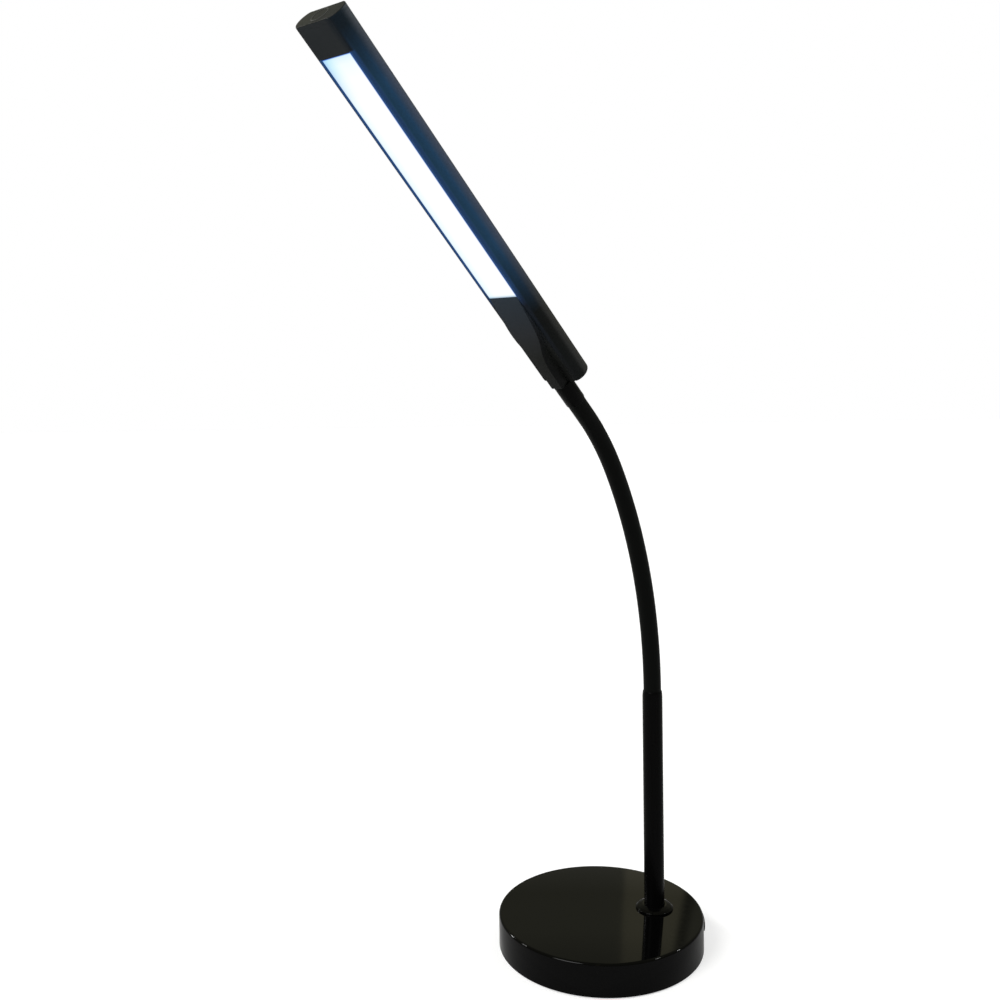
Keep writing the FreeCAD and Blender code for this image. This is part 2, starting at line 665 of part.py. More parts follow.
def head_lead():
    """Lead out of the neck's stud to the end of the board."""
    board_depth = (reflector_back + board_back) / 2
    places = [(AXIS_DEPTH, 0), (AXIS_DEPTH, HEAD_LEAD_STRAIGHT), (board_depth, board_start - HEAD_LEAD_GAP)]
    return swept_lead(HEAD_LEAD_RADIUS, places)


def build():
    """Makes every piece of the lamp."""
    os.makedirs("parts", exist_ok=True)
    for make in (base_cover, ballast, base_pad, cord_inlet, terminal_block, stem_tube, stem_collar,
                 stem_nipple, stem_nut, stem_lead):
        save(make.__name__, make())
    neck()
    for make in (head_housing, head_fairing, diffuser, reflector, led_board, leds, heat_spreader, neck_cradle,
                 neck_strap, end_cap, touch_ring, touch_electrode, touch_board, head_lead):
        save(make.__name__, in_head(make()))
    for i, hinge in enumerate(hinges):
        place = neck_frame.multVec(hinge.Base)
        print("hinge %d at (%.4f, %.4f, %.4f)" % (i + 1, place.x, place.y, place.z))


build()
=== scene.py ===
"""Looks of the gooseneck desk lamp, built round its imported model.

Sizes are in millimetres in the lamp's own frame, whose origin is the centre of the base's underside, with
+Z up. They turn to metres only where a mesh, a lamp or the camera is made.
"""

import logging
import math
from dataclasses import dataclass, field
from enum import Enum
from typing import Any, Callable, Sequence

import bmesh
import bpy
from mathutils import Matrix, Vector


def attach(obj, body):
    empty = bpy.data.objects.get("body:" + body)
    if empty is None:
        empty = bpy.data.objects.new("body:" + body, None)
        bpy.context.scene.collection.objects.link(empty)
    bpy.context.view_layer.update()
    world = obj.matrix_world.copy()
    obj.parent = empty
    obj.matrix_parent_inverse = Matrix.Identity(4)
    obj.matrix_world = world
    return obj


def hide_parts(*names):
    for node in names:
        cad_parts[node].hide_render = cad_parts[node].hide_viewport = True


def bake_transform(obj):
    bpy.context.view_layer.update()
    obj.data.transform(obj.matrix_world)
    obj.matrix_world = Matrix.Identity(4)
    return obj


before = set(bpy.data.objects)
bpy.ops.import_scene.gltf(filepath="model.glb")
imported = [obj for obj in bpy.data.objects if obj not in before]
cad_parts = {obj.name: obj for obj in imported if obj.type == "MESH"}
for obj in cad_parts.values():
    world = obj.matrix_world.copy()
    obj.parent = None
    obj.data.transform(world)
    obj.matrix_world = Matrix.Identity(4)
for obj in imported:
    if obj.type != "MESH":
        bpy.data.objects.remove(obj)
log = logging.getLogger("lamp")

MM = 0.001
HEAD_PLACE = "head_place"
CROWN_WALL_SHADE = "crown_wall_shade"
Point = tuple[float, float]
Row = list[Vector]
Shape = tuple[Row, list[list[int]]]
Piece = bpy.types.Object
Tree = bpy.types.NodeTree
Node = bpy.types.Node
Socket = bpy.types.NodeSocket
Span = tuple[Socket, float, float]
Stops = Sequence[tuple[float, str]]
TINTED = {"data_type": "RGBA", "blend_type": "MULTIPLY", 0: 1.0}


# Meshes

def rounded(corners: Sequence[tuple[float, float, float]], steps: int = 5, closed: bool = True) -> list[Point]:
    """Rounds the corners of an outline.

    Args:
        corners: Corner places and radii, as (x, y, radius).
        steps: Straight runs in each arc.
        closed: Whether the last corner joins the first.

    Returns:
        The outline's points.
    """
    points: list[Point] = []
    count = len(corners)
    for i, (x, y, radius) in enumerate(corners):
        here = Vector((x, y))
        if radius <= 0 or (not closed and i in (0, count - 1)):
            points.append((x, y))
            continue
        before = (Vector(corners[i - 1][:2]) - here).normalized()
        after = (Vector(corners[(i + 1) % count][:2]) - here).normalized()
        half = before.angle(after) / 2
        start = here + before * radius / math.tan(half)
        end = here + after * radius / math.tan(half)
        centre = here + (before + after).normalized() * radius / math.sin(half)
        sweep = (start - centre).angle_signed(end - centre)
        for k in range(steps + 1):
            turn = -sweep * k / steps
            arm = start - centre
            points.append((centre.x + arm.x * math.cos(turn) - arm.y * math.sin(turn),
                           centre.y + arm.x * math.sin(turn) + arm.y * math.cos(turn)))
    return points


def make_piece(name: str, verts: Sequence[Vector], faces: Sequence[Sequence[int]],
               place: Matrix = Matrix.Identity(4), sharp: float = 35.0) -> Piece:
    """Makes a smooth-shaded mesh object from millimetre points.

    Args:
        name: The piece's name.
        verts: Its points, in millimetres.
        faces: Its faces, as point numbers.
        place: Where it goes, in millimetres.
        sharp: Edges that turn by more than this many degrees are drawn sharp.

    Returns:
        The new object, in the scene.
    """
    mesh = bpy.data.meshes.new(name)
    mesh.from_pydata([(place @ v) * MM for v in verts], [], faces)
    work = bmesh.new()
    work.from_mesh(mesh)
    bmesh.ops.remove_doubles(work, verts=work.verts, dist=1e-7)
    bmesh.ops.recalc_face_normals(work, faces=work.faces)
    work.to_mesh(mesh)
    work.free()
    mesh.shade_smooth()
    mesh.set_sharp_from_angle(angle=math.radians(sharp))
    piece = bpy.data.objects.new(name, mesh)
    bpy.context.scene.collection.objects.link(piece)
    return piece


def lathe(profile: Sequence[Point], segments: int = 192, closed: bool = True) -> Shape:
    """Turns a profile about Z.

    Args:
        profile: Points as (radius, height). Points on the axis become poles.
        segments: Flats round the circle.
        closed: Whether the profile's last point joins its first.

    Returns:
        Points and faces.
    """
    verts: Row = []
    rings: list[list[int]] = []
    for radius, height in profile:
        if radius < 1e-6:
            verts.append(Vector((0, 0, height)))
            rings.append([len(verts) - 1] * segments)
            continue
        rings.append(list(range(len(verts), len(verts) + segments)))
        for k in range(segments):
            turn = 2 * math.pi * k / segments
            verts.append(Vector((radius * math.cos(turn), radius * math.sin(turn), height)))
    faces: list[list[int]] = []
    pairs = list(zip(rings, rings[1:])) + ([(rings[-1], rings[0])] if closed else [])
    for low, high in pairs:
        for k in range(segments):
            n = (k + 1) % segments
            corners = list(dict.fromkeys((low[k], low[n], high[n], high[k])))
            if len(corners) > 2:
                faces.append(corners)
    return verts, faces


def loft(rows: Sequence[Row], closed: bool = True, caps: bool = True) -> Shape:
    """Joins rows of points into a skin.

    Args:
        rows: Rows with the same number of points.
        closed: Whether each row is a closed ring.
        caps: Whether the first and last rings are filled.

    Returns:
        Points and faces.
    """
    width = len(rows[0])
    verts = [v for row in rows for v in row]
    faces: list[list[int]] = []
    for r in range(len(rows) - 1):
        for k in range(width if closed else width - 1):
            n = (k + 1) % width
            faces.append([r * width + k, r * width + n, (r + 1) * width + n, (r + 1) * width + k])
    if caps and closed:
        faces.append(list(range(width)))
        faces.append(list(range((len(rows) - 1) * width, len(rows) * width)))
    return verts, faces


def drill(radius: float, near: float, far: float) -> Shape:
    """Returns a plain cylinder about Z, between two heights."""
    return lathe([(0.0, near), (radius, near), (radius, far), (0.0, far)], 64, closed=False)


def quarter(steps: int) -> list[Point]:
    """Returns the sine and cosine of each step of a quarter turn."""
    turns = [math.pi / 2 * k / steps for k in range(steps + 1)]
    return [(math.sin(turn), math.cos(turn)) for turn in turns]


def apply_modifier(piece: Piece, modifier: bpy.types.Modifier) -> None:
    """Applies a modifier to its piece."""
    bpy.context.view_layer.objects.active = piece
    bpy.ops.object.modifier_apply(modifier=modifier.name)


def cut(piece: Piece, cutter: Piece) -> None:
    """Cuts one piece out of another, and deletes the cutter.

    Args:
        piece: The piece that is cut.
        cutter: What is cut out.
    """
    modifier = piece.modifiers.new("cut", "BOOLEAN")
    modifier.object = cutter
    modifier.solver = "EXACT"
    apply_modifier(piece, modifier)
    bpy.data.objects.remove(cutter)


# Finishes

def linear(code: str) -> tuple[float, float, float, float]:
    """Turns an sRGB hex colour to linear light.

    Args:
        code: A colour such as "#1a2b3c".

    Returns:
        Linear red, green and blue, and an alpha of 1.
    """
    parts = [int(code[i:i + 2], 16) / 255 for i in (1, 3, 5)]
    red, green, blue = (c / 12.92 if c <= 0.04045 else ((c + 0.055) / 1.055) ** 2.4 for c in parts)
    return red, green, blue, 1.0


def add_node(tree: Tree, kind: str, settings: dict[Any, Any] | None = None,
             links: dict[Any, Socket] | None = None) -> Node:
    """Adds a node with its settings and links.

    Args:
        tree: The node tree.
        kind: The node's type name.
        settings: Values of its inputs, by name or number, or of its own properties, by name.
        links: Sockets that feed its inputs, by name or number.

    Returns:
        The new node.
    """
    node = tree.nodes.new(kind)
    for key, value in (settings or {}).items():
        if isinstance(key, int) or key in node.inputs:
            node.inputs[key].default_value = value
        else:
            setattr(node, key, value)
    for key, socket in (links or {}).items():
        tree.links.new(socket, node.inputs[key])
    return node


def head_place(tree: Tree) -> tuple[Socket, Socket, Socket]:
    """Reads where a point lies in the head's own frame, which its pieces carry as an attribute.

    Args:
        tree: The node tree.

    Returns:
        Its place across, in depth and along the head, in millimetres.
    """
    place = add_node(tree, "ShaderNodeAttribute", {"attribute_name": HEAD_PLACE}).outputs["Vector"]
    parts = add_node(tree, "ShaderNodeSeparateXYZ", links={0: place}).outputs
    return parts[0], parts[1], parts[2]


def reach(tree: Tree, operation: str, spans: Sequence[Span]) -> Socket:
    """Joins measures in one share. Each measure's own share goes from 0 to 1 over its span, and holds beyond it.

    Args:
        tree: The node tree.
        operation: How the shares join, as the math node names it.
        spans: Each measure, where its share is 0 and where it is 1.

    Returns:
        The joined share.
    """
    shares = [add_node(tree, "ShaderNodeMapRange", {"From Min": low, "From Max": high}, {"Value": measure}).outputs[0]
              for measure, low, high in spans]
    joined = shares[0]
    for more in shares[1:]:
        joined = add_node(tree, "ShaderNodeMath", {"operation": operation}, {0: joined, 1: more}).outputs[0]
    return joined


def shades(tree: Tree, stops: Stops, *spans: Span) -> Socket:
    """Lays colours along a measure, or along the least of several.

    Args:
        tree: The node tree.
        stops: Shares and their sRGB hex colours, in order.
        spans: Each measure, where its share is 0 and where it is 1.

    Returns:
        The colour.
    """
    ramp = add_node(tree, "ShaderNodeValToRGB", links={"Fac": reach(tree, "MINIMUM", spans)})
    marks = ramp.color_ramp.elements
    marks[0].position, marks[0].color = stops[0][0], linear(stops[0][1])
    marks[1].position, marks[1].color = stops[-1][0], linear(stops[-1][1])
    for at, code in stops[1:-1]:
        marks.new(at).color = linear(code)
    return ramp.outputs[0]


def cover(tree: Tree, under: Socket, over: Socket | str, *spans: Span) -> Socket:
    """Lays one colour over another where every measure's share is 1.

    Args:
        tree: The node tree.
        under: The colour below.
        over: The colour on top, from a node or as sRGB hex.
        spans: Each measure, where its share is 0 and where it is 1.

    Returns:
        The colour that shows.
    """
    settings: dict[Any, Any] = {"data_type": "RGBA"}
    links = {0: reach(tree, "MULTIPLY", spans), 6: under}
    if isinstance(over, str):
        settings[7] = linear(over)
    else:
        links[7] = over
    return add_node(tree, "ShaderNodeMix", settings, links).outputs[2]


def ray_kinds(tree: Tree) -> tuple[Socket, Socket]:
    """Tells which rays arrive.

    Args:
        tree: The node tree.

    Returns:
        1 for the camera's rays, and 1 for those that a surface mirrors or lets through.
    """
    path = add_node(tree, "ShaderNodeLightPath").outputs
    links = {0: path["Is Glossy Ray"], 1: path["Is Transmission Ray"]}
    return path["Is Camera Ray"], add_node(tree, "ShaderNodeMath", {"operation": "MAXIMUM"}, links).outputs[0]


@dataclass(frozen=True)
class Lumps:
    """Unevenness of a surface.

    Attributes:
        size: Size of a lump, in millimetres.
        octaves: Octaves of finer noise on it.
        amount: In a grain how high the lumps stand, in millimetres. In a sheen how far the roughness wanders.
        stretch: How much closer the lumps lie along each axis.
    """
    size: float
    octaves: float
    amount: float
    stretch: tuple[float, float, float] = (1, 1, 1)

    def noise(self, tree: Tree) -> Socket:
        """Adds noise whose lumps have their real size.

        Args:
            tree: The node tree.

        Returns:
            The noise, about 0.5.
        """
        place = add_node(tree, "ShaderNodeTexCoord").outputs["Object"]
        scaled = add_node(tree, "ShaderNodeMapping", {"Scale": self.stretch}, {"Vector": place}).outputs[0]
        settings = {"Scale": 1 / (self.size * MM), "Detail": self.octaves}
        return add_node(tree, "ShaderNodeTexNoise", settings, {"Vector": scaled}).outputs[0]


@dataclass(frozen=True)
class Finish:
    """A surface of one real material.

    Attributes:
        name: The material's name.
        colour: Its sRGB hex colour.
        roughness: How much it scatters reflections.
        metallic: 1 for a bare metal.
        ior: Its index of refraction.
        gloss: Its specular level, where 0.5 is what the index alone gives.
        grain: The lumps that catch the light.
        sheen: The patches over which its roughness wanders.
    """
    name: str
    colour: str
    roughness: float
    metallic: float = 0.0
    ior: float = 1.5
    gloss: float = 0.5
    grain: Lumps | None = None
    sheen: Lumps | None = None

    def material(self) -> bpy.types.Material:
        """Makes the material, or returns it where it is made already.

        Returns:
            The material.
        """
        made = bpy.data.materials.get(self.name)
        if made:
            return made
        made = bpy.data.materials.new(self.name)
        made.use_nodes = True
        tree = made.node_tree
        tree.nodes.clear()
        settings = {"Base Color": linear(self.colour), "Roughness": self.roughness, "Metallic": self.metallic,
                    "IOR": self.ior, "Specular IOR Level": self.gloss}
        shader = add_node(tree, "ShaderNodeBsdfPrincipled", settings)
        add_node(tree, "ShaderNodeOutputMaterial", links={"Surface": shader.outputs[0]})
        self.pattern(tree, shader)
        return made

    def pattern(self, tree: Tree, shader: Node) -> None:
        """Adds what the surface shows beside its colour.

        Args:
            tree: The node tree.
            shader: The surface's shader.
        """
        if self.grain:
            settings = {"Distance": self.grain.amount * MM}
            bump = add_node(tree, "ShaderNodeBump", settings, {"Height": self.grain.noise(tree)})
            tree.links.new(bump.outputs[0], shader.inputs["Normal"])
        if self.sheen:
            settings = {"From Min": 0.3, "From Max": 0.7, "To Min": self.roughness - self.sheen.amount,
                        "To Max": self.roughness + self.sheen.amount}
            rough = add_node(tree, "ShaderNodeMapRange", settings, {"Value": self.sheen.noise(tree)})
            tree.links.new(rough.outputs[0], shader.inputs["Roughness"])


@dataclass(frozen=True)
class GlossMouldedAbs(Finish):
    """ABS moulded against a polished tool.

    It gives a mirror-like skin that waves slightly over a few centimetres, with thin dust and hairline wipe marks.
    """
    grain: Lumps | None = Lumps(26.0, 1.0, 0.012)
    sheen: Lumps | None = Lumps(3.0, 6.0, 0.025)


@dataclass(frozen=True)
class BakedEnamel(Finish):
    """Enamel baked on steel or brass: an even satin film with a faint orange peel, 1.2 mm from crest to crest."""
    grain: Lumps | None = Lumps(1.2, 1.0, 0.006)
    sheen: Lumps | None = Lumps(8.0, 4.0, 0.03)


@dataclass(frozen=True)
class ExtrudedVinyl(Finish):
    """PVC drawn through a die as a sleeve.

    It gives a soft sheen from fine matt specks, drawn coarser than the real 0.1 mm so that they show.
    """
    grain: Lumps | None = Lumps(0.45, 3.0, 0.006)
    sheen: Lumps | None = Lumps(11.0, 5.0, 0.04)


@dataclass(frozen=True)
class GrainedAbs(Finish):
    """ABS moulded against a spark-eroded tool.

    It gives a fine even grain that kills the gloss, drawn at 0.35 mm where the real one is about 0.15 mm, so that
    it shows.
    """
    grain: Lumps | None = Lumps(0.35, 3.0, 0.02)
    sheen: Lumps | None = Lumps(14.0, 4.0, 0.03)


@dataclass(frozen=True)
class HousingAbsWithPaintedLight(GrainedAbs):
    """Grained ABS with painted light: the window's blue glow on sides and rims, and painted shade past its ends."""

    end: str = "#191a18"
    # Colour of the painted highlight on the opening's rim beside the rear of the fairing.
    joint_highlight: str = "#2a2c2b"

    def pattern(self, tree: Tree, shader: Node) -> None:
        """Adds the grain, and colours the face, rims, sides and end by place, with glow, shade and a highlight
        painted in.
        """
        super().pattern(tree, shader)
        x, y, z = head_place(tree)
        far = add_node(tree, "ShaderNodeMath", {"operation": "ABSOLUTE"}, {0: x}).outputs[0]
        depth = (y, 0.0, 15.0)
        # Painted light: the window's blue glow on the sides beside it, strongest at the front edge.
        lit = shades(tree, ((0.0, "#35577f"), (0.1, "#224662"), (0.3, "#25496a"), (0.48, "#38495f"),
                            (0.65, "#3f4a5e"), (1.0, "#434954")), depth)
        # Painted shade on the sides past the window's ends: near black at the front edge, lighter towards the back,
        # bluer at the far end.
        above = shades(tree, ((0.1, "#14202a"), (0.35, "#15222b"), (0.5, "#2a333b"), (0.7, "#3d434b"),
                              (1.0, "#444a52")), depth)
        below = shades(tree, ((0.1, "#0c1010"), (0.34, "#0d100f"), (0.5, "#2a2b2a"), (0.75, "#2d2d2b"),
                              (1.0, "#292927")), depth)
        away = cover(tree, below, above, (z, 60.0, 250.0))
        side = cover(tree, away, lit, (z, 70.0, 125.0), (z, 283.0, 246.0))
        # The front turns darker and bluer towards its +x edge.
        face = shades(tree, ((0.0, self.colour), (1.0, "#171f26")), (x, 8.5, 12.0))
        flank = cover(tree, face, side, (y, 0.1, 0.9))
        # Painted shade on the opening's rims below the window, and the window's blue glow painted on the rims beside
        # it.
        black = shades(tree, ((0.0, "#121415"), (1.0, "#1a222d")), (z, 20.0, 90.0))
        blue = shades(tree, ((0.0, "#2a5899"), (1.0, "#274874")), (far, 11.3, 13.5))
        rim = cover(tree, black, blue, (z, 78.0, 96.0))
        edged = cover(tree, flank, rim, (far, 10.8, 11.3), (z, 270.0, 269.2), (y, 1.2, 0.6))
        # Painted highlight: the opening's rim beside the rear of the fairing is drawn lighter, as a lit line.
        lined = cover(tree, edged, self.joint_highlight, (far, 11.85, 11.6), (z, 80.0, 60.0))
        end = shades(tree, ((0.0, self.end), (1.0, "#181a1b")), (x, -4.0, 14.0))
        tree.links.new(cover(tree, lined, end, (z, 290.1, 290.4)), shader.inputs["Base Color"])


@dataclass(frozen=True)
class FairingAbsWithPaintedLight(GrainedAbs):
    """Grained ABS below the window: its blue glow painted at the end that meets it, painted shade on the crown's
    sides.
    """

    def pattern(self, tree: Tree, shader: Node) -> None:
        """Adds the grain; colours the panel darker to the rear, paints the window's glow near it and shade on the
        crown's sides.
        """
        super().pattern(tree, shader)
        near = (head_place(tree)[2], 6.0, 86.0)
        # Darker towards the rear; the blue at the end by the window is the window's glow, painted.
        panel = shades(tree, ((0.0, "#0e0f0e"), (0.18, "#131413"), (0.38, "#1b1d1b"), (0.62, self.colour),
                              (1.0, "#2d3741")), near)
        # Painted shade on the crown's steep sides, as much as the crown wall mask gives each point.
        shaded = shades(tree, ((0.0, "#080909"), (1.0, "#0a0e12")), near)
        wall = add_node(tree, "ShaderNodeAttribute", {"attribute_name": CROWN_WALL_SHADE}).outputs["Fac"]
        tree.links.new(cover(tree, panel, shaded, (wall, 0.0, 1.0)), shader.inputs["Base Color"])


@dataclass(frozen=True)
class LitOpalAcrylic(Finish):
    """Opal PMMA lit from behind: white, cooler to one side and the far end, with a blue line at its fitted edge."""

    strength: float = 1.0
    half: float = 11.15
    ends: Point = (86.15, 269.05)

    def pattern(self, tree: Tree, shader: Node) -> None:
        """Colours the light by the distances to the pane's four edges."""
        x, _, z = head_place(tree)
        low, high = self.ends
        even = shades(tree, ((0.0, "#dcedfa"), (0.25, "#effcff"), (1.0, "#ffffff")), (x, -self.half, 6 - self.half))
        cold = shades(tree, ((0.0, "#bcd9f9"), (0.3, "#dbf4fe"), (0.7, "#f5feff"), (1.0, "#ffffff")),
                      (x, -self.half, 11 - self.half))
        light = cover(tree, even, cold, (z, high - 30, high - 6))
        top = shades(tree, ((0.0, "#dcf1fb"), (0.1, "#e6f8fe"), (0.35, "#f5feff"), (1.0, "#ffffff")),
                     (z, high, high - 15))
        line = shades(tree, ((0.0, "#2c57bb"), (0.08, "#8fb0ee"), (0.2, "#f0f6ff"), (0.35, "#ffffff")),
                      (x, self.half, self.half - 2), (z, high, high - 2))
        foot = shades(tree, ((0.0, "#8496ab"), (0.25, "#c0d3e4"), (0.6, "#f4fcff"), (1.0, "#ffffff")),
                      (z, low, low + 3))
        for tint in (top, line, foot):
            light = add_node(tree, "ShaderNodeMix", TINTED, {6: light, 7: tint}).outputs[2]
        tree.links.new(light, shader.inputs["Emission Color"])
        shader.inputs["Emission Strength"].default_value = self.strength
        shader.inputs["Base Color"].default_value = linear("#101010")


@dataclass(frozen=True)
class SmoothMoulding(Finish):
    """Plastic moulded or extruded smooth: a faint ripple of about 2 mm and an uneven sheen."""
    grain: Lumps | None = Lumps(2.0, 2.0, 0.01)
    sheen: Lumps | None = Lumps(6.0, 4.0, 0.05)


@dataclass(frozen=True)
class CuredFilm(Finish):
    """Ink, solder mask or silicone that cured where it was laid: slight orange peel, about 0.6 mm."""
    grain: Lumps | None = Lumps(0.6, 1.0, 0.008)
    sheen: Lumps | None = Lumps(3.0, 3.0, 0.06)


@dataclass(frozen=True)
class CastIron(Finish):
    """Iron cast in sand: dull, coarse and pitted with the sand's 1 mm grain under a thin primer."""
    grain: Lumps | None = Lumps(1.0, 6.0, 0.15)


@dataclass(frozen=True)
class Foam(Finish):
    """Closed-cell EVA foam, split from a block: matt, with cut cells about 0.5 mm across."""
    grain: Lumps | None = Lumps(0.5, 2.0, 0.08)


@dataclass(frozen=True)
class RolledMetal(Finish):
    """Sheet or turned metal: fine marks 0.3 mm apart, ten times as long."""
    grain: Lumps | None = Lumps(0.3, 3.0, 0.004, (1, 1, 0.1))


class Kind(Enum):
    """The lamp's finishes."""
    COVER = GlossMouldedAbs("gloss_moulded_abs", "#030303", 0.06, ior=1.53, gloss=0.07)
    STEM = BakedEnamel("baked_enamel_on_steel", "#040404", 0.26, ior=1.52, gloss=0.04)
    FERRULE = BakedEnamel("baked_enamel_on_brass", "#050505", 0.3, ior=1.52, gloss=0.04)
    SLEEVE = ExtrudedVinyl("extruded_pvc_sleeve", "#070807", 0.42, ior=1.53, gloss=0.04)
    HOUSING = HousingAbsWithPaintedLight("spark_grained_abs_painted_light", "#282c2f", 0.5, ior=1.53, gloss=0.08)
    FAIRING = FairingAbsWithPaintedLight("spark_grained_abs_fairing", "#272a2e", 0.47, ior=1.53, gloss=0.08)
    RING = CuredFilm("pad_printed_grey_ink", "#40413f", 0.5, gloss=0.1)
    OPAL = LitOpalAcrylic("lit_opal_pmma", "#eef3ff", 0.35, ior=1.49, gloss=0.05)
    IRON = CastIron("primed_cast_iron", "#1d1d1e", 0.8)
    PAD = Foam("eva_foam", "#121212", 0.9)
    RUBBER = Foam("moulded_rubber", "#0e0e0e", 0.65)
    NYLON = SmoothMoulding("natural_nylon", "#e4e2d6", 0.45)
    ZINC = RolledMetal("zinc_plated_steel", "#c4c6ca", 0.32, metallic=1.0)
    LEAD = SmoothMoulding("grey_pvc_lead", "#8c8e90", 0.45)
    WHITE = SmoothMoulding("white_moulded_reflector", "#f2f2f0", 0.35)
    MASK = CuredFilm("white_solder_mask", "#efefe9", 0.3)
    PHOSPHOR = CuredFilm("phosphor_in_silicone", "#f2dc80", 0.4)
    ALUMINIUM = RolledMetal("mill_aluminium", "#d3d4d6", 0.35, metallic=1.0)
    DIECAST = CastIron("die_cast_zinc", "#9a9c9f", 0.45, metallic=1.0)
    COPPER = RolledMetal("copper_foil", "#d08a5c", 0.3, metallic=1.0)
    GREEN = CuredFilm("green_solder_mask", "#1c6a3a", 0.3)

    def material(self) -> bpy.types.Material:
        """Returns the finish's material."""
        return self.value.material()


def dress(piece: Piece, kind: Kind) -> None:
    """Gives a whole piece one finish."""
    piece.data.materials.clear()
    piece.data.materials.append(kind.material())


def dress_nodes(**kinds: Kind) -> None:
    """Gives nodes that show as packed their finishes, by their names."""
    for node, kind in kinds.items():
        dress(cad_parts[node], kind)


def finish_piece(piece: Piece, kind: Kind, slot: str, body: str | None, *nodes: str) -> None:
    """Dresses a piece, ties it to its body and lets it stand for its nodes.

    Args:
        piece: The piece.
        kind: Its finish.
        slot: The record's material slot for the piece. It is not used.
        body: The body that it rides on, or None for a sleeve run that spans two bodies and is tied to neither.
        nodes: The nodes that it stands for.
    """
    dress(piece, kind)
    if body:
        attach(piece, body)
    if nodes:
        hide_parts(*nodes)
    log.info("%s: %d faces", piece.name, len(piece.data.polygons))


# Sub-assemblies

@dataclass
class WeightedBase:
    """Round moulded cover over the cast weight, with a foam pad under it."""
    radius: float = 75.0
    top: float = 23.6
    rim: float = 0.8
    wall: float = 2.4
    top_edge: float = 1.8
    rim_edge: float = 0.5
    inlet_height: float = 11.0
    hole: float = 5.02
    hole_span: Point = (60.0, 80.0)

    def build(self) -> None:
        """Builds the cover, and dresses the pieces under it."""
        inner = self.radius - self.wall
        corners = [(0.0, 0.0, 0), (inner, self.rim, 0.3), (self.radius, self.rim, self.rim_edge),
                   (self.radius, self.top, self.top_edge), (0.0, self.top, 0)]
        outline = rounded(corners, 6, closed=False)[1:]
        verts, faces = lathe(outline + [(0.0, self.top - self.wall), (inner, self.top - self.wall)], 256)
        shell = make_piece("base_cover_shell", verts, faces)
        self.bore(shell)
        finish_piece(shell, Kind.COVER, "cover", "base", "base_cover")
        dress_nodes(ballast=Kind.IRON, base_pad=Kind.PAD, cord_inlet=Kind.RUBBER, terminal_block=Kind.NYLON)

    def bore(self, shell: Piece) -> None:
        """Cuts the hole for the cord inlet.

        Args:
            shell: The cover.
        """
        turn = Matrix.Translation((0, 0, self.inlet_height)) @ Matrix.Rotation(-math.pi / 2, 4, "X")
        cut(shell, make_piece("inlet_cutter", *drill(self.hole, *self.hole_span), turn))
        shell.data.set_sharp_from_angle(angle=math.radians(35))


@dataclass
class Stem:
    """Steel tube with its top rolled in to the neck, on a low domed collar."""
    foot: Vector = field(default_factory=lambda: Vector((0, 40.5, 23.6)))
    radius: float = 7.4
    bore: float = 6.55
    length: float = 161.0
    mouth_length: float = 5.5
    mouth_radius: float = 6.85
    collar_play: float = 0.05
    collar_radius: float = 13.7
    collar_height: float = 3.3
    collar_wall: float = 1.1
    collar_shoulder: Point = (1.7, 2.35)

    def build(self) -> None:
        """Builds the tube and its collar, and dresses the fittings inside."""
        place = Matrix.Translation(self.foot)
        top = self.length
        roll = [(self.radius - (self.radius - self.mouth_radius) * (1 - cosine), top - self.mouth_length * (1 - sine))
                for sine, cosine in quarter(8)]
        lip = [(self.mouth_radius - 0.1, top), (self.bore, top - 0.2), (self.bore, 0.0), (self.radius, 0.0)]
        tube = make_piece("stem_pipe", *lathe(roll + lip, 96), place, 50)
        finish_piece(tube, Kind.STEM, "stem", "base", "stem_tube")
        inner, rim, rise = self.radius + self.collar_play, self.collar_radius, self.collar_height
        inset, shoulder = self.collar_shoulder
        dome = rounded([(inner, 0, 0), (rim, 0, 0.1), (rim, self.collar_wall, 0.5), (rim - inset, shoulder, 2.2),
                        (inner + inset, rise, 2.6), (inner, rise, 0.25)], 8)
        collar = make_piece("stem_collar_ring", *lathe(dome, 160), place, 50)
        finish_piece(collar, Kind.COVER, "stem", "base", "stem_collar")
        dress_nodes(stem_nipple=Kind.ZINC, stem_nut=Kind.ZINC, stem_lead=Kind.LEAD)


@dataclass
class NeckLine:
    """Centre line of the neck: two tangent arcs and a straight end, turned to one side."""
    axis: Vector = field(default_factory=lambda: Vector((0, 40.5, 0)))
    turn: float = 44.1
    start: float = 183.1
    arcs: tuple[Point, ...] = ((178.0, 31.45), (51.2, 16.55))
    straight: float = 29.4

    def length(self) -> float:
        """Returns the line's length."""
        return sum(length for length, _ in self.arcs) + self.straight

    def place(self, distance: float) -> Matrix:
        """Gives a frame on the line, with its Z along the neck.

        Args:
            distance: How far along the line. Less than 0 is down the stem.

        Returns:
            The frame, in millimetres.
        """
        y, z, lean = 0.0, self.start, 0.0
        if distance < 0:
            z += distance
            distance = 0.0
        for length, bend in self.arcs:
            radius = length / math.radians(bend)
            step = min(distance, length)
            turn = step / radius
            y -= radius * (math.cos(lean) - math.cos(lean + turn))
            z += radius * (math.sin(lean + turn) - math.sin(lean))
            lean += turn
            distance -= step
        y -= distance * math.sin(lean)
        z += distance * math.cos(lean)
        side = Matrix.Translation(self.axis) @ Matrix.Rotation(math.radians(self.turn), 4, "Z")
        return side @ Matrix.Translation((0, y, z)) @ Matrix.Rotation(lean, 4, "X")


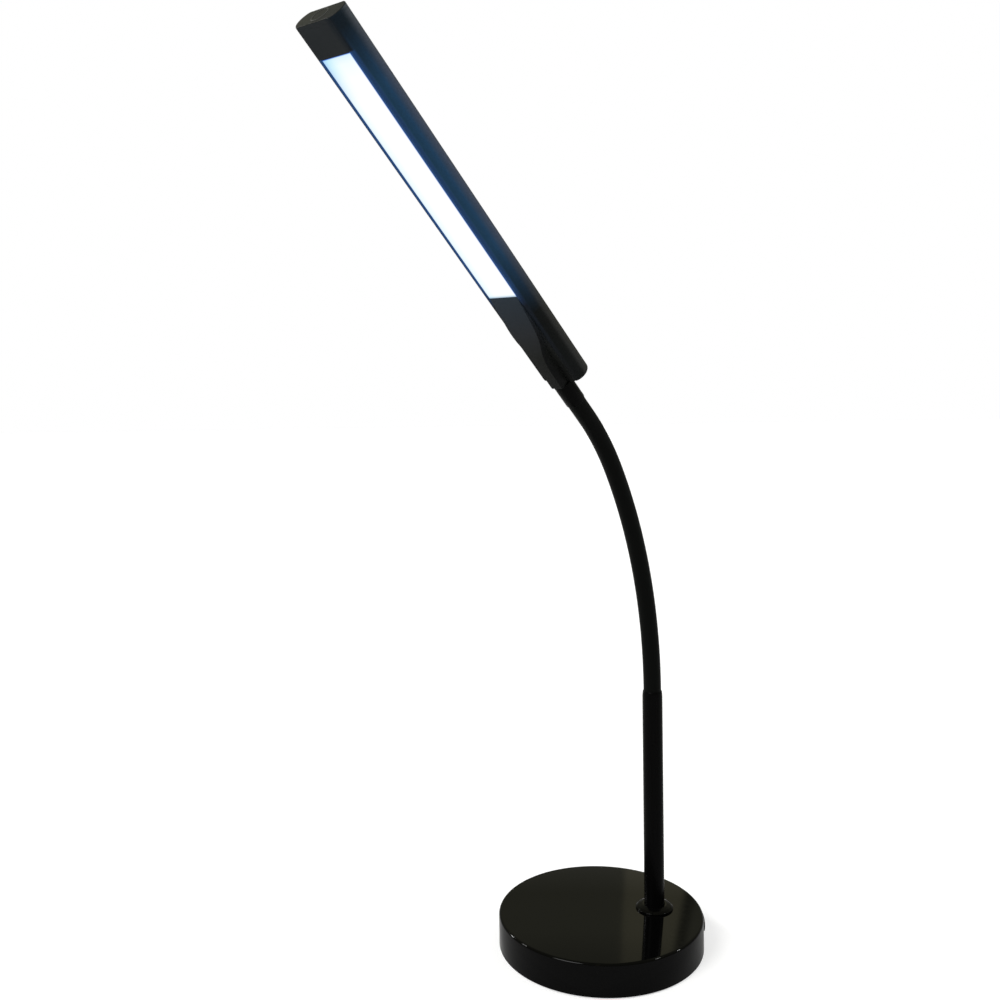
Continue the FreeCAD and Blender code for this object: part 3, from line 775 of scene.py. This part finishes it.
@dataclass
class Neck:
    """Flexible neck: a smooth sleeve in one run for each hinge, and the ferrule at its upper end."""
    line: NeckLine = field(default_factory=NeckLine)
    radius: float = 6.5
    links: int = 6
    first_hinge: float = 8.0
    last_hinge: float = 237.0
    root: float = -12.0
    tuck: float = 2.0
    sides: int = 64
    ring_step: float = 1.5
    ferrule_radius: float = 7.0
    ferrule_length: float = 13.6
    ferrule_play: float = 0.03
    cup: float = -2.0
    head_rear: float = 6.6
    stud_radius: float = 3.2
    stud_bore: float = 1.9
    stud_end: float = 28.0

    def build(self) -> None:
        """Builds the sleeve's runs and the ferrule."""
        pitch = (self.last_hinge - self.first_hinge) / self.links
        middles = [self.first_hinge + pitch * (i + 0.5) for i in range(self.links)]
        ends = [self.root] + middles + [self.line.length() + self.tuck]
        bodies = ["base"] + ["neck_link_%02d" % (i + 1) for i in range(self.links)] + ["head"]
        nodes = ["neck_root"] + bodies[1:-1] + ["neck_top"]
        for i in range(self.links + 1):
            run = self.sleeve_run("neck_sleeve_run_%d" % (i + 1), ends[i], ends[i + 1])
            centre = self.first_hinge + pitch * i
            low, high = centre - pitch / 2, centre + pitch / 2
            self.at(max(low, ends[i]))
            self.at(high)
            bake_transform(run)
            stands_for = nodes[i:i + 1] if i < self.links else nodes[i:]
            finish_piece(run, Kind.SLEEVE, "sleeve", None, *stands_for)
        self.ferrule()

    def at(self, distance: float) -> Vector:
        """Returns a point on the line, in metres."""
        return self.line.place(distance).translation * MM

    def sleeve_run(self, name: str, start: float, end: float) -> Piece:
        """Builds one run of the sleeve.

        Args:
            name: Its name.
            start: Where it starts, along the line.
            end: Where it ends.

        Returns:
            The run.
        """
        count = max(2, round((end - start) / self.ring_step))
        turns = [2 * math.pi * s / self.sides for s in range(self.sides)]
        rows = []
        for k in range(count + 1):
            place = self.line.place(start + (end - start) * k / count)
            rows.append([place @ Vector((self.radius * math.cos(t), self.radius * math.sin(t), 0)) for t in turns])
        run = make_piece(name, *loft(rows, caps=False))
        self.true_normals(run)
        return run

    def true_normals(self, run: Piece) -> None:
        """Points the run's normals straight out from the line, so that no seam shows between runs.

        Args:
            run: The run.
        """
        steps = [self.line.place(d / 2) for d in range(int(self.root * 2) - 8, int(self.line.length() * 2) + 16)]
        normals = []
        for vertex in run.data.vertices:
            here = vertex.co / MM
            near = min(steps, key=lambda m: (m.translation - here).length_squared)
            arm = here - near.translation
            along = near.col[2].to_3d()
            normals.append((arm - along * arm.dot(along)).normalized())
        run.data.normals_split_custom_set_from_vertices(normals)

    def ferrule(self) -> None:
        """Builds the turned ferrule: a cup over the neck's end, and the hollow stud that goes into the head."""
        mouth, rear, cup = -self.ferrule_length, self.head_rear, self.cup
        inner = self.radius + self.ferrule_play
        corners = [(inner, mouth, 0.0), (self.ferrule_radius, mouth, 0.45), (self.ferrule_radius, rear, 0.15),
                   (self.stud_radius, rear, 0.0), (self.stud_radius, self.stud_end, 0.3),
                   (self.stud_bore, self.stud_end, 0.0), (self.stud_bore, cup, 0.0), (inner, cup, 0.0)]
        place = self.line.place(self.line.length())
        ring = make_piece("neck_ferrule_shell", *lathe(rounded(corners, 5), 96), place)
        finish_piece(ring, Kind.FERRULE, "ferrule", "head", "neck_ferrule")


@dataclass
class LightHead:
    """Slim straight head: moulded housing, fairing over the neck's end, lit window and end cap.

    The crown's start gives distances from its rear edge, and how much lower than the crown it is there.
    """
    line: NeckLine = field(default_factory=NeckLine)
    axis_depth: float = 0.75
    rear: float = 6.6
    end: float = 290.6
    cap: float = 2.6
    depth: float = 15.3
    cap_edge: float = 0.6
    seam: float = 0.03
    front_half: float = 13.2
    bulge_half: float = 17.75
    back_half: float = 13.6
    edge: float = 0.7
    wall: float = 1.7
    rear_edge: float = 1.4
    lip_edge: float = 0.22
    hole: float = 3.25
    hole_end: float = 14.0
    opening: float = 11.3
    fit: float = 0.15
    window: Point = (86.0, 269.2)
    pane_steps: tuple[float, ...] = (0.0, 0.25, 0.6, 1.2, 2.4, 4.5)
    pane_edge: float = 0.6
    pane_fall: float = 0.2
    flush: float = 0.02
    crown_height: float = 6.6
    crown_tail: float = 4.4
    crown_draft: float = 1.4
    crown_flare: Point = (27.0, 62.0)
    crown_kink: float = 28.0
    crown_blend: float = 200.0
    crown_edge: float = 0.35
    crown_start: tuple[Point, ...] = ((0.0, 0.3), (0.15, 0.1), (0.35, 0.02))
    crown_rows: int = 110
    shade_height: Point = (1.0, 3.5)
    ring_radius: float = 5.8
    ring_width: float = 0.7
    ring_height: float = 0.2

    def build(self) -> None:
        """Builds the head's outer pieces and dresses what is inside."""
        self.place = self.line.place(self.line.length()) @ Matrix.Translation((0, -self.axis_depth, 0))
        self.housing()
        self.fairing()
        self.pane()
        self.end_cap()
        dress_nodes(reflector=Kind.WHITE, led_board=Kind.MASK, leds=Kind.PHOSPHOR, heat_spreader=Kind.ALUMINIUM,
                    neck_cradle=Kind.DIECAST, neck_strap=Kind.ZINC, touch_electrode=Kind.COPPER,
                    touch_board=Kind.GREEN, head_lead=Kind.LEAD)

    def side(self, inset: float) -> tuple[float, float, float]:
        """Gives the arc of the section's side.

        Args:
            inset: How far inside the outer skin.

        Returns:
            The arc's centre across and in depth, and its radius.
        """
        middle = self.depth / 2
        (x1, y1), (x2, y2), (x3, y3) = (self.front_half, 0), (self.bulge_half, middle), (self.back_half, self.depth)
        d = 2 * (x1 * (y2 - y3) + x2 * (y3 - y1) + x3 * (y1 - y2))
        a, b, c = x1 * x1 + y1 * y1, x2 * x2 + y2 * y2, x3 * x3 + y3 * y3
        x = (a * (y2 - y3) + b * (y3 - y1) + c * (y1 - y2)) / d
        y = (a * (x3 - x2) + b * (x1 - x3) + c * (x2 - x1)) / d
        return x, y, math.hypot(x1 - x, y1 - y) - inset

    def section(self, inset: float, edge: float, steps: int = 22) -> list[Point]:
        """Gives the right half of the section, from the front's middle to the back's.

        Args:
            inset: How far inside the outer skin.
            edge: Radius of its corners.
            steps: Straight runs along the side.

        Returns:
            Points as (across, depth), front first.
        """
        x, y, radius = self.side(inset)
        front, back = inset, self.depth - inset
        arms = [math.asin((d - y) / radius) for d in (front, back)]
        turns = [arms[0] + (arms[1] - arms[0]) * k / steps for k in range(steps + 1)]
        side = [(x + radius * math.cos(t), y + radius * math.sin(t)) for t in turns]
        low, high = Vector(side[0]), Vector(side[-1])
        corners = [(0.0, front, 0), (low.x, low.y, edge)] + [(px, py, 0) for px, py in side[2:-2]]
        corners += [(high.x, high.y, edge), (0.0, back, 0)]
        return rounded(corners, 6, closed=False)

    def ring(self, inset: float, edge: float, z: float) -> Row:
        """Returns the whole section, this far inside the outer skin and with corners of this radius, at z."""
        half = self.section(inset, edge)
        return [Vector((x, y, z)) for x, y in half + [(-x, y) for x, y in reversed(half[1:-1])]]

    def housing(self) -> None:
        """Builds the housing: outer skin with a rounded rear, cut open in front, and its inner skin."""
        rows = []
        for sine, cosine in quarter(6):
            rows.append(self.ring(self.rear_edge * (1 - sine), self.edge, self.rear + self.rear_edge * (1 - cosine)))
        top = self.end - self.cap
        rows += [self.ring(0, self.edge, z) for z in (60, 120, 180, 240, top - 0.25)]
        rows.append(self.ring(self.seam, self.edge, top))
        shell = make_piece("head_housing_shell", *loft(rows), self.place)
        inner = [self.ring(self.wall, 0.1, z) for z in (self.rear + self.wall, top + 1)]
        cut(shell, make_piece("hollow", *loft(inner), self.place))
        cut(shell, self.block("mouth", (-self.opening, self.opening), (-3, 3), (0, self.window[1])))
        axis = self.place @ Matrix.Translation((0, self.axis_depth, 0))
        cut(shell, make_piece("hole", *drill(self.hole, 0.0, self.hole_end), axis))
        bevel = shell.modifiers.new("edges", "BEVEL")
        bevel.width = self.lip_edge * MM
        bevel.segments = 2
        bevel.limit_method = "ANGLE"
        bevel.angle_limit = math.radians(50)
        apply_modifier(shell, bevel)
        shell.data.set_sharp_from_angle(angle=math.radians(40))
        self.mark(shell)
        finish_piece(shell, Kind.HOUSING, "housing", "head", "head_housing")

    def block(self, name: str, x: Point, y: Point, z: Point) -> Piece:
        """Returns a cutting block with these limits in the head's frame."""
        rows = [[Vector((x[0], y[0], h)), Vector((x[1], y[0], h)), Vector((x[1], y[1], h)), Vector((x[0], y[1], h))]
                for h in z]
        return make_piece(name, *loft(rows), self.place)

    def crown_half(self, z: float, height: float) -> float:
        """Gives the crown's half width.

        Args:
            z: The place along the head.
            height: The height above the flat front.

        Returns:
            The half width there.
        """
        full = self.opening - self.fit
        raised = height / self.crown_height
        tail = self.crown_tail + self.crown_draft * (1 - raised)
        wide = full - self.crown_draft / 2 * raised
        start, end = self.crown_flare
        t = min(max((z - start) / (end - start), 0), 1)
        across = wide - tail
        radius = (across ** 2 + (end - start) ** 2) / (4 * across)
        run = t * (end - start)
        half = (end - start) / 2
        if run <= half:
            return tail + radius - math.sqrt(radius ** 2 - run ** 2)
        return wide - radius + math.sqrt(radius ** 2 - (2 * half - run) ** 2)

    def crown_top(self, z: float) -> float:
        """Gives the crown's height.

        Args:
            z: The place along the head.

        Returns:
            Its height above the flat front.
        """
        end = self.window[0]
        slope = math.atan2(self.crown_height, end - self.crown_kink)
        tangent = self.crown_blend * math.tan(slope / 2)
        bend_start = self.crown_kink - tangent
        bend_end = self.crown_kink + tangent * math.cos(slope)
        if z <= bend_start:
            return self.crown_height
        if z >= bend_end:
            return (end - z) * math.tan(slope)
        return self.crown_height - self.crown_blend + math.sqrt(self.crown_blend ** 2 - (z - bend_start) ** 2)

    def fairing(self) -> None:
        """Builds the fairing: a flush panel whose crown rises over the neck's end and falls to the window."""
        full = self.opening - self.fit
        start, length = self.rear + self.flush, self.window[0] - 0.4 - (self.rear + self.flush)
        places = [(start + ahead, lower) for ahead, lower in self.crown_start]
        first, count = places[-1][0], self.crown_rows
        places += [(first + length * k / count, 0.0) for k in range(1, count + 1)]
        rows = [self.fairing_row(z, max(self.crown_top(z) - lower, self.flush), full) for z, lower in places]
        skin = make_piece("head_fairing_panel", *loft(rows), self.place, 40)
        self.mark(skin)
        self.mark_walls(skin)
        finish_piece(skin, Kind.FAIRING, "fairing", "head", "head_fairing")

    def mark_walls(self, skin: Piece) -> None:
        """Marks the points on the crown's steep sides, which stand in their own shade.

        Args:
            skin: The fairing.
        """
        layer = skin.data.attributes.new(CROWN_WALL_SHADE, "FLOAT", "POINT")
        back = self.place.inverted()
        none, whole = self.shade_height
        below_brow, above_foot, play = 0.15, 0.2, 0.05
        for vertex, entry in zip(skin.data.vertices, layer.data):
            x, y, z = back @ (vertex.co / MM)
            height = self.crown_top(z)
            if below_brow - height < y < -above_foot and abs(x) < self.crown_half(z, 0.0) + play:
                entry.value = min(1.0, max(0.0, (height - none) / (whole - none)))

    def fairing_row(self, z: float, top: float, full: float) -> Row:
        """Gives one section across the fairing.

        Args:
            z: The place along the head.
            top: The crown's height there.
            full: The panel's half width.

        Returns:
            The section's points, all round.
        """
        foot = min(self.crown_half(z, 0.0), full - 0.02)
        brow = min(self.crown_half(z, top), foot - 0.01)
        edge = min(self.crown_edge, top * 0.6)
        side = [(full, self.wall, 0), (full, 0.12, 0), (full - 0.01, 0.0, 0), (foot, 0.0, 0), (brow, -top, edge),
                (0.0, -top, 0)]
        half = rounded(side, 6, closed=False)
        return [Vector((x, y, z)) for x, y in half + [(-x, y) for x, y in reversed(half[:-1])]]

    def pane(self) -> None:
        """Builds the opal window."""
        half = self.opening - self.fit
        low, high = self.window[0] + self.fit, self.window[1] - self.fit
        steps = self.pane_steps
        across = [-half + s for s in steps] + [0.0] + [half - s for s in reversed(steps)]
        along = [low + s for s in steps] + [low + (high - low) * k / 20 for k in range(1, 20)]
        along += [high - s for s in reversed(steps)]
        rows = []
        for z in along:
            front = [Vector((x, self.pane_depth(min(half - abs(x), z - low, high - z)), z)) for x in across]
            rows.append(front + [Vector((x, self.wall, z)) for x in reversed(across)])
        glass = make_piece("head_window_pane", *loft(rows), self.place, 60)
        self.mark(glass)
        finish_piece(glass, Kind.OPAL, "diffuser", "head", "diffuser")

    def mark(self, piece: Piece) -> None:
        """Gives each point of a piece its place in the head's frame, which the finishes read.

        Args:
            piece: The piece.
        """
        back = self.place.inverted()
        layer = piece.data.attributes.new(HEAD_PLACE, "FLOAT_VECTOR", "POINT")
        for vertex, entry in zip(piece.data.vertices, layer.data):
            entry.vector = back @ (vertex.co / MM)

    def pane_depth(self, rim: float) -> float:
        """Returns how deep the pane's face lies, which is flush and rounds off this far from its nearest edge."""
        return self.flush + self.pane_fall * max(0.0, 1 - rim / self.pane_edge) ** 2

    def end_cap(self) -> None:
        """Builds the end cap with its softened rim, and the ring that marks where to touch."""
        start = self.end - self.cap
        rows = [self.ring(self.seam, self.edge, start + self.flush), self.ring(0, self.edge, start + 0.2)]
        for sine, cosine in quarter(6):
            rows.append(self.ring(self.cap_edge * (1 - cosine), self.edge, self.end - self.cap_edge * (1 - sine)))
        cap = make_piece("head_end_cap_shell", *loft(rows), self.place)
        self.mark(cap)
        finish_piece(cap, Kind.HOUSING, "end_cap", "head", "end_cap")
        outer, inner = self.ring_radius, self.ring_radius - self.ring_width
        high = self.ring_height
        corners = [(inner, -0.05, 0), (outer, -0.05, 0), (outer, high, 0.12), (inner, high, 0.12)]
        place = self.place @ Matrix.Translation((0, self.depth / 2, self.end))
        ring = make_piece("head_touch_ring_mark", *lathe(rounded(corners, 3), 96), place)
        finish_piece(ring, Kind.RING, "touch_ring", "head", "touch_ring")


@dataclass
class Studio:
    """Pale floor, surroundings, lamps and the camera."""
    eye: Vector = field(default_factory=lambda: Vector((805.5, -145.7, 420.1)))
    ahead: Vector = field(default_factory=lambda: Vector((-0.9957, 0.0929, 0.0)))
    roll: float = 0.0098
    lens: float = 39.726
    shift: Point = (-0.0003, -0.12525)
    floor_half: float = 8000.0
    seen_glow: float = 0.56
    mirrored_glow: float = 0.05

    def build(self) -> None:
        """Sets the stage."""
        bpy.context.scene.view_settings.view_transform = "Standard"
        self.camera()
        self.floor()
        self.surroundings()
        self.lamp("key", (0.5, -0.6, 0.62), 28.0, 2.0)
        self.lamp("far_left", (-0.55, -0.7, 0.46), 5.0, 0.7)
        self.lamp("near_left", (-0.3, -0.75, 0.58), 6.0, 0.5)
        self.lamp("far_right", (-0.04, 0.8, 0.6), 4.0, 0.6)
        self.lamp("near_right", (0.23, 0.62, 0.75), 5.0, 0.4)

    def camera(self) -> None:
        """Puts the camera where the photograph was taken from."""
        data = bpy.data.cameras.new("camera")
        data.lens = self.lens
        data.shift_x, data.shift_y = self.shift
        data.clip_start = 0.01
        eye = bpy.data.objects.new("camera", data)
        ahead = self.ahead.normalized()
        right = ahead.cross(Vector((0, 0, 1))).normalized()
        up = right.cross(ahead)
        turned_up = up * math.cos(self.roll) + right * math.sin(self.roll)
        turned_right = right * math.cos(self.roll) - up * math.sin(self.roll)
        pose = Matrix((turned_right, turned_up, -ahead)).transposed().to_4x4()
        eye.matrix_world = Matrix.Translation(self.eye * MM) @ pose
        bpy.context.scene.collection.objects.link(eye)
        bpy.context.scene.camera = eye

    def floor(self) -> None:
        """Lays a wide pale floor, which the camera sees as white outside the lamp's shadow."""
        half = self.floor_half
        corners = [Vector((x * half, y * half, 0)) for x, y in ((-1, -1), (1, -1), (1, 1), (-1, 1))]
        ground = make_piece("studio_floor", corners, [[0, 1, 2, 3]])
        made = bpy.data.materials.new("matt_white_paper")
        made.use_nodes = True
        tree = made.node_tree
        tree.nodes.clear()
        matt = add_node(tree, "ShaderNodeBsdfDiffuse", {"Color": linear("#bcbcba")})
        seen, mirrored = ray_kinds(tree)
        faint = add_node(tree, "ShaderNodeMath", {"operation": "MULTIPLY", 1: self.mirrored_glow}, {0: mirrored})
        glow = add_node(tree, "ShaderNodeMath", {"operation": "MULTIPLY_ADD", 1: self.seen_glow},
                        {0: seen, 2: faint.outputs[0]})
        light = add_node(tree, "ShaderNodeEmission", {"Color": (1, 1, 1, 1)}, {"Strength": glow.outputs[0]})
        paper = add_node(tree, "ShaderNodeAddShader", links={0: matt.outputs[0], 1: light.outputs[0]})
        add_node(tree, "ShaderNodeOutputMaterial", links={"Surface": paper.outputs[0]})
        ground.data.materials.append(made)

    def surroundings(self) -> None:
        """Makes the surroundings: white to the camera, and in a mirror an olive-grey room with a brighter card."""
        world = bpy.data.worlds.new("studio")
        bpy.context.scene.world = world
        world.use_nodes = True
        tree = world.node_tree
        tree.nodes.clear()
        way = add_node(tree, "ShaderNodeTexCoord").outputs["Generated"]
        parts = add_node(tree, "ShaderNodeSeparateXYZ", links={0: way}).outputs
        walls = shades(tree, ((0.1, "#c5c5be"), (0.38, "#b7b79e"), (0.5, "#e2e2c4")), (parts["Z"], 0.0, 1.0))
        bearing = add_node(tree, "ShaderNodeMath", {"operation": "DIVIDE"}, {0: parts["Y"], 1: parts["X"]}).outputs[0]
        card = shades(tree, ((0.09, "#c2c2c2"), (0.15, "#fffaf2"), (0.75, "#fffaf2"), (0.82, "#888888"),
                             (0.88, "#888888"), (0.95, "#c6c6c6")), (bearing, -0.2, -0.34))
        room = add_node(tree, "ShaderNodeMix", TINTED, {6: walls, 7: card}).outputs[2]
        seen, mirrored = ray_kinds(tree)
        around = add_node(tree, "ShaderNodeMix", {"data_type": "RGBA", 6: linear("#afafb0")}, {0: mirrored, 7: room})
        shown = add_node(tree, "ShaderNodeMix", {"data_type": "RGBA", 7: (1, 1, 1, 1)},
                         {0: seen, 6: around.outputs[2]})
        sky = add_node(tree, "ShaderNodeBackground", {"Strength": 1.0}, {"Color": shown.outputs[2]})
        add_node(tree, "ShaderNodeOutputWorld", links={"Surface": sky.outputs[0]})

    def lamp(self, name: str, side: Sequence[float], spread: float, strength: float) -> None:
        """Hangs a lamp far away, so that its light is even over the whole floor.

        Args:
            name: Its name.
            side: The direction that it stands in.
            spread: How wide it looks, in degrees.
            strength: Its light on a surface that faces it, in watts for each square metre.
        """
        data = bpy.data.lights.new(name, "SUN")
        data.angle = math.radians(spread)
        data.energy = strength
        made = bpy.data.objects.new(name, data)
        made.rotation_euler = (-Vector(side)).to_track_quat("-Z", "Y").to_euler()
        bpy.context.scene.collection.objects.link(made)


def main() -> None:
    """Builds the lamp in order."""
    logging.basicConfig(level=logging.INFO, format="%(message)s")
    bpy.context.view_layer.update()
    parts: tuple[Callable[[], Any], ...] = (Studio, WeightedBase, Stem, Neck, LightHead)
    for part in parts:
        part().build()
        log.info("%s built", part.__name__)


if __name__ == "__main__":
    main()
